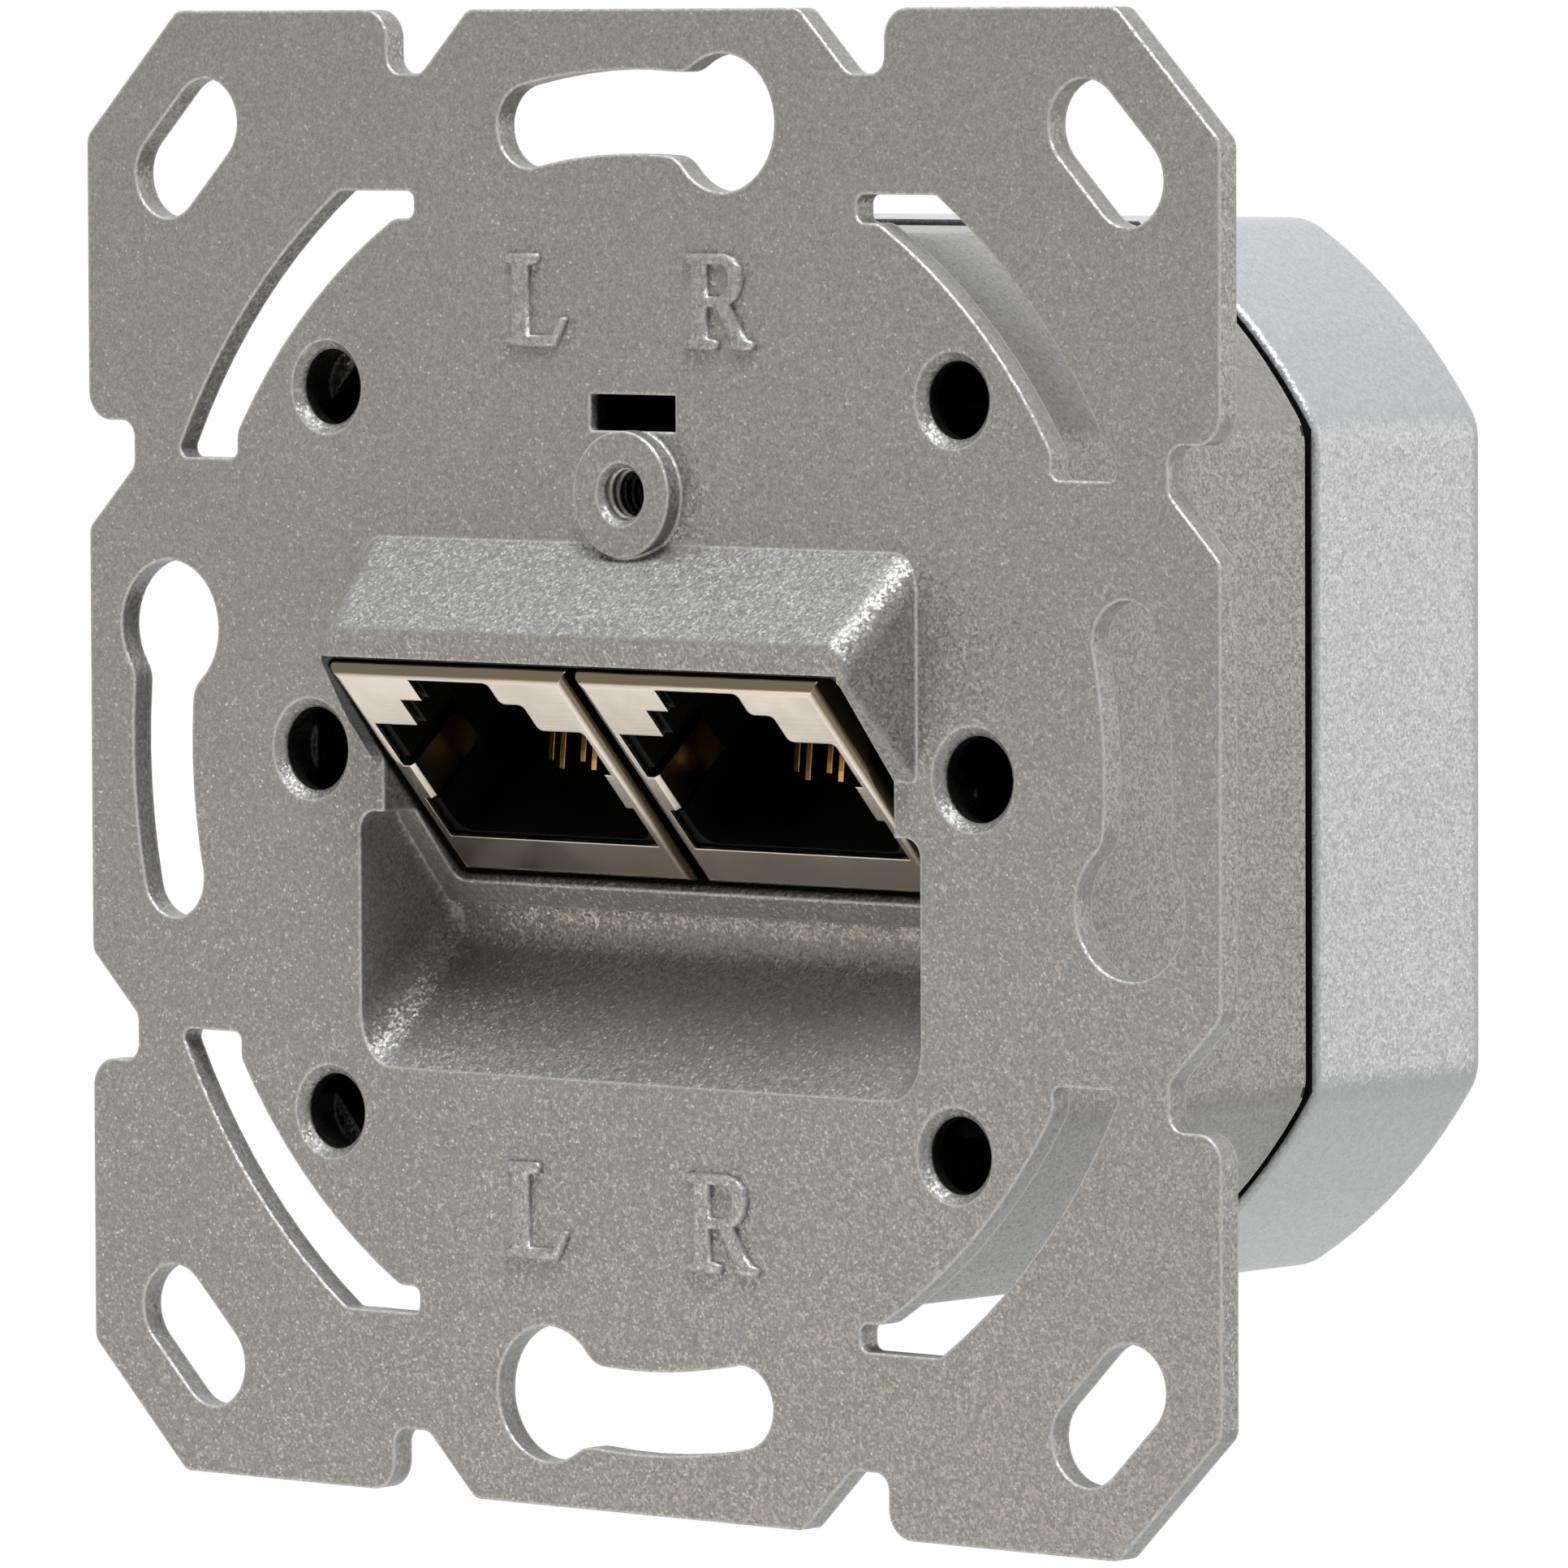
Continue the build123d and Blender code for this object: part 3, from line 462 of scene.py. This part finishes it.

# jack shields: warm nickel on sheet, with painted shade: brown on the outer bends and near black behind the
# jacks' face
nickelSheet = dict(base=(0.68, 0.61, 0.54, 1), smudge=(0.6, 0.53, 0.46, 1), wornAndHighlight=(0.75, 0.69, 0.61, 1),
                   metallic=1.0, roughness=0.2, uneven=0.06, bump=0.12, bumpHigh=0.00002, rounding=0.00008)
shieldSheet = dict(nickelSheet, base=(0.62, 0.548, 0.48, 1), smudge=(0.57, 0.5, 0.432, 1),
                   paintedBendShade=(0.16, 0.125, 0.085, 1), bendSpan=(0.985, 0.8), bendFrom=(0.00685, 0.0064),
                   paintedDeepShade=(0.03, 0.025, 0.019, 1), paintedDeepShadeDepth=(0.0003, 0.0024), portPitch=0.0154)
dress(["left_jack_shield", "right_jack_shield"], sheetMaterial("shieldSheet", shieldSheet))

# spring strip and clamp: plain steel
springSteel = dict(nickelSheet, base=(0.4, 0.4, 0.39, 1), smudge=(0.32, 0.32, 0.31, 1),
                   wornAndHighlight=(0.55, 0.55, 0.53, 1))
dress(["shield_spring", "cable_clamp"], sheetMaterial("springSteel", springSteel))

# screws: zinc plate with a faint blue cast
screwPlate = dict(nickelSheet, base=(0.45, 0.47, 0.5, 1), smudge=(0.38, 0.4, 0.42, 1),
                  wornAndHighlight=(0.66, 0.68, 0.7, 1))
dress(["board_screws", "clamp_screws", "cover_screws"], sheetMaterial("screwPlate", screwPlate))

# contact wires: bright gold
goldWire = dict(nickelSheet, base=(1.0, 0.6, 0.16, 1), smudge=(0.9, 0.5, 0.12, 1), wornAndHighlight=(1.0, 0.7, 0.26, 1),
                roughness=0.22, bump=0.1, rounding=0.00004)
dress(["left_jack_contacts", "right_jack_contacts"], sheetMaterial("goldWire", goldWire))

# blades of the wire blocks: bronze
bladeBronze = dict(goldWire, base=(0.5, 0.38, 0.24, 1), smudge=(0.42, 0.32, 0.2, 1),
                   wornAndHighlight=(0.62, 0.52, 0.4, 1), roughness=0.35)
dress(["upper_block_contacts", "lower_block_contacts"], sheetMaterial("bladeBronze", bladeBronze))

# jack bodies and carriers: black plastic
blackPlastic = dict(base=(0.002, 0.002, 0.002, 1), haze=(0.004, 0.004, 0.004, 1),
                    wornAndHighlight=(0.006, 0.006, 0.007, 1), metallic=0.0, roughness=0.45, uneven=0.07, specular=0.08,
                    bump=0.25, bumpHigh=0.00003, rounding=0.0001, skin=dict(Scale=5200, Detail=2),
                    clouds=dict(Scale=240, Detail=3), hazeSpan=(0.35, 0.7), glossSpan=(0.3, 0.7))
dress(["left_jack_body", "right_jack_body", "left_jack_carrier", "right_jack_carrier"],
      plasticMaterial("blackPlastic", blackPlastic))

# wire blocks: charcoal plastic, a little lighter than the jacks
blockPlastic = dict(blackPlastic, base=(0.012, 0.012, 0.013, 1), haze=(0.016, 0.016, 0.017, 1),
                    wornAndHighlight=(0.05, 0.05, 0.052, 1), roughness=0.5, specular=0.3)
dress(["upper_wire_block", "lower_wire_block"], plasticMaterial("blockPlastic", blockPlastic))

# circuit board: black solder mask
boardMask = dict(blackPlastic, base=(0.006, 0.009, 0.008, 1), haze=(0.009, 0.013, 0.011, 1),
                 wornAndHighlight=(0.06, 0.055, 0.03, 1), roughness=0.3, specular=0.3)
dress(["circuit_board"], plasticMaterial("boardMask", boardMask))
print("materials ready")


# raised port letters, cast with the plate: outlines in mm from the lower left corner
portLetters = dict(
    proud=0.26, softEdge=0.16, edgeSteps=3, drawnIn=0.7, face=-1.2,
    rows=((19.33, 1.0), (-23.4, 1.045)),
    columns=(("L", (-7.7, -8.0)), ("R", (3.4, 3.28))),
    outlines={
        "L": [[(0, 0), (3.05, 0), (3.68, 1.2), (3.62, 1.33), (3.32, 1.28), (2.9, 0.48), (1.3, 0.44),
               (1.3, 3.78), (1.95, 3.88), (2.0, 4.2), (1.9, 4.27), (0, 4.27), (0, 3.88), (0.38, 3.78),
               (0.38, 0.4), (0, 0.32)]],
        "R": [[(0, 0), (1.95, 0), (1.98, 0.34), (1.28, 0.46), (1.28, 1.98), (1.95, 1.98), (2.85, 0.4),
               (2.82, 0), (4.12, 0), (4.2, 0.3), (3.78, 0.4), (3.45, 0.75), (2.65, 2.1), (3.1, 2.32),
               (3.38, 2.75), (3.46, 3.25), (3.32, 3.8), (2.9, 4.2), (2.3, 4.36), (0, 4.36), (0, 4),
               (0.42, 3.88), (0.42, 0.46), (0, 0.36)],
              [(1.28, 2.38), (1.28, 3.94), (2.1, 3.94), (2.5, 3.74), (2.68, 3.35), (2.68, 2.95), (2.48, 2.55),
               (2.1, 2.38)]],
    },
)
# letters: the front casting's zinc made lighter, partly for polished faces and partly as a painted highlight
letterZincWithHighlight = dict(castZinc, base=(0.3, 0.292, 0.278, 1), cloud=(0.34, 0.33, 0.315, 1), wearAndHighlight=0.85,
                  roughness=0.3, sparkle=0.25)


def letterMesh(outlines, scale, left, base, piece):
    # a flat filled curve with a rounded edge, made a mesh and stood up against the plate's face
    curve = bpy.data.curves.new("letterOutline", "CURVE")
    curve.dimensions, curve.fill_mode = "2D", "BOTH"
    curve.extrude, curve.bevel_depth = piece["proud"] / 2, piece["softEdge"]
    curve.bevel_resolution, curve.offset = piece["edgeSteps"], -piece["softEdge"] * piece["drawnIn"]
    for outline in outlines:
        spline = curve.splines.new("POLY")
        spline.points.add(len(outline) - 1)
        flat = np.hstack([np.array(outline) * scale + (left, base), np.zeros((len(outline), 1)),
                          np.ones((len(outline), 1))])
        spline.points.foreach_set("co", flat.ravel())
        spline.use_cyclic_u = True
    holder = bpy.data.objects.new("letterOutline", curve)
    bpy.context.scene.collection.objects.link(holder)
    bpy.context.view_layer.update()
    mesh = bpy.data.meshes.new_from_object(holder.evaluated_get(bpy.context.evaluated_depsgraph_get()))
    bpy.data.objects.remove(holder)
    flat = np.zeros(len(mesh.vertices) * 3)
    mesh.vertices.foreach_get("co", flat)
    flat = flat.reshape(-1, 3)
    points = np.stack([flat[:, 0], piece["face"] - flat[:, 2], flat[:, 1]], 1) * mm
    return points, [list(p.vertices) for p in mesh.polygons]


def makePortLetters(piece):
    # rows hold the height of their baseline and their scale, columns the left end of a letter in each row
    points, faces, count = [], [], 0
    for letter, lefts in piece["columns"]:
        for left, (base, scale) in zip(lefts, piece["rows"]):
            more, sides = letterMesh(piece["outlines"][letter], scale, left, base, piece)
            points.append(more)
            faces += [[v + count for v in side] for side in sides]
            count += len(more)
    letters = meshObject("portLetters", np.vstack(points), faces)
    letters.data.materials.append(castMaterial("castZincLetters", letterZincWithHighlight))
    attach(letters, "root")


makePortLetters(portLetters)
print("letters ready")


# thread cut into the boss of the front casting
bossThread = dict(x=0.0, z=12.55, coreRadius=1.25, depth=0.17, pitch=0.5, front=-1.9, back=1.15, steps=48,
                  sides=(-0.46, -0.1, 0.1, 0.46), rises=(-0.02, 1, 1, -0.02), thinnest=0.02)


def makeBossThread(piece):
    # a helical ridge: at each angle it is a small trapezium whose place along Y grows by one pitch a turn,
    # and over its first and last half turn it fades out
    turns = (piece["back"] - piece["front"]) / piece["pitch"] - 1
    angle = np.linspace(0, 2 * math.pi * turns, int(piece["steps"] * turns))
    fade = np.clip(np.minimum(angle, angle[-1] - angle) / math.pi, piece["thinnest"], 1)
    across, inward = np.array(piece["sides"]) * piece["pitch"], np.array(piece["rises"]) * piece["depth"]
    radius = piece["coreRadius"] - inward[None, :] * fade[:, None]
    along = piece["front"] + piece["pitch"] * (0.5 + angle[:, None] / (2 * math.pi)) + across[None, :]
    points = np.stack([piece["x"] + radius * np.cos(angle)[:, None], along,
                       piece["z"] + radius * np.sin(angle)[:, None]], -1).reshape(-1, 3) * mm
    faces = ringFaces(len(angle), 4)
    caps = [[3, 2, 1, 0], [(len(angle) - 1) * 4 + k for k in range(4)]]
    thread = meshObject("bossThread", points, [*faces[:, ::-1], *caps])
    thread.data.materials.append(castFront)
    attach(thread, "root")


makeBossThread(bossThread)
print("thread ready")


# studio: a pale floor that fades to white, and a white surround
studio = dict(floorZ=-0.16, floorSize=1.6, floorColor=(0.82, 0.82, 0.8, 1), floorRough=0.9, fadeFrom=0.25,
              fadeTo=0.62, rings=24, spokes=64, firstRing=0.02, crowding=1.4, worldLight=0.15,
              worldColor=(1, 0.985, 0.96, 1))


def makeFloor(piece):
    # a disc on a polar grid: the radius is an even step to the power crowding, so that the rings lie closer
    # together towards the middle
    rings, spokes = piece["rings"], piece["spokes"]
    ring, turn = np.meshgrid(np.linspace(piece["firstRing"], 1, rings) ** piece["crowding"],
                             np.linspace(0, 2 * math.pi, spokes, endpoint=False), indexing="ij")
    points = np.stack([ring * np.cos(turn), ring * np.sin(turn), np.zeros_like(ring)], -1).reshape(-1, 3)
    points = points * piece["floorSize"] / 2 + (0, 0, piece["floorZ"])
    middle = len(points)
    faces = [*ringFaces(rings, spokes), *[(middle, k, (k + 1) % spokes) for k in range(spokes)]]
    floor = meshObject("studioFloor", np.vstack([points, [(0, 0, piece["floorZ"])]]), faces)
    material = bpy.data.materials.new("floorPaper")
    material.use_nodes = True
    tree = material.node_tree
    paper = tree.nodes["Principled BSDF"]
    paper.inputs["Base Color"].default_value = piece["floorColor"]
    paper.inputs["Roughness"].default_value = piece["floorRough"]
    white = addNode(tree, "ShaderNodeEmission")
    mix = addNode(tree, "ShaderNodeMixShader")
    where = addNode(tree, "ShaderNodeTexCoord")
    far = vectorNode(tree, "LENGTH")
    flat = vectorNode(tree, "MULTIPLY", (1, 1, 0))
    wire(tree, [(where.outputs["Object"], flat.inputs[0]), (flat.outputs["Vector"], far.inputs[0])])
    fade = rampNode(tree, far.outputs["Value"], piece["fadeFrom"], piece["fadeTo"])
    wire(tree, [(allOf(tree, fade, seenStraight(tree)), mix.inputs["Fac"]),
                (paper.outputs[0], mix.inputs[1]), (white.outputs[0], mix.inputs[2]),
                (mix.outputs[0], tree.nodes["Material Output"].inputs["Surface"])])
    floor.data.materials.append(material)


def makeWorld(piece):
    world = bpy.data.worlds.new("studioWorld")
    world.use_nodes = True
    tree = world.node_tree
    light = tree.nodes["Background"]
    light.inputs["Color"].default_value = piece["worldColor"]
    light.inputs["Strength"].default_value = piece["worldLight"]
    white = addNode(tree, "ShaderNodeBackground")
    white.inputs["Color"].default_value = (1, 1, 1, 1)
    mix = addNode(tree, "ShaderNodeMixShader")
    wire(tree, [(seenStraight(tree), mix.inputs["Fac"]), (light.outputs[0], mix.inputs[1]),
                (white.outputs[0], mix.inputs[2]),
                (mix.outputs[0], tree.nodes["World Output"].inputs["Surface"])])
    bpy.context.scene.world = world


# soft boxes: one above, one above and to the right for the edges, one far right and behind for the
# housing's side, and a small warm one below
softBoxes = {
    "topBox": dict(place=(-0.1, -0.08, 0.85), size=0.9, power=6.9, color=(0.88, 0.94, 1)),
    "edgeBox": dict(place=(0.27, -0.3, 0.88), size=0.4, power=12, color=(0.97, 0.98, 1)),
    "sideBox": dict(place=(1.0, 0.75, 0.12), size=1.0, power=6, color=(1, 0.97, 0.93)),
    "lowBox": dict(place=(-0.07, -0.17, -0.1), size=0.14, power=0.15, color=(1, 0.86, 0.7)),
}


def makeSoftBoxes(boxes):
    for name, box in boxes.items():
        lamp = bpy.data.lights.new(name, "AREA")
        lamp.shape, lamp.size = "DISK", box["size"]
        lamp.energy, lamp.color = box["power"], box["color"]
        holder = bpy.data.objects.new(name, lamp)
        holder.location = box["place"]
        holder.rotation_euler = (-Vector(box["place"])).to_track_quat("-Z", "Y").to_euler()
        holder.visible_camera = False
        bpy.context.scene.collection.objects.link(holder)


# camera: long lens, about 41 degrees to the right of the plate's axis and a little above it
view = dict(
    place=(0.393259, -0.443051, 0.03453), lens=293.1, sensor=36.0, clip=(0.01, 20),
    across=(0.75488751, 0.65584243, -0.00394398), up=(-0.0362984, 0.04778294, 0.99819798),
    back=(0.65484905, -0.75338403, 0.05987678),
)


def makeCamera(piece):
    lens = bpy.data.cameras.new("photoCamera")
    lens.sensor_width, lens.lens = piece["sensor"], piece["lens"]
    lens.clip_start, lens.clip_end = piece["clip"]
    camera = bpy.data.objects.new("photoCamera", lens)
    turn = Matrix((piece["across"], piece["up"], piece["back"])).transposed()
    camera.matrix_world = Matrix.Translation(piece["place"]) @ turn.to_4x4()
    bpy.context.scene.collection.objects.link(camera)
    bpy.context.scene.camera = camera


makeFloor(studio)
makeWorld(studio)
makeSoftBoxes(softBoxes)
makeCamera(view)
bpy.context.scene.view_settings.view_transform = "Standard"
print("studio ready")
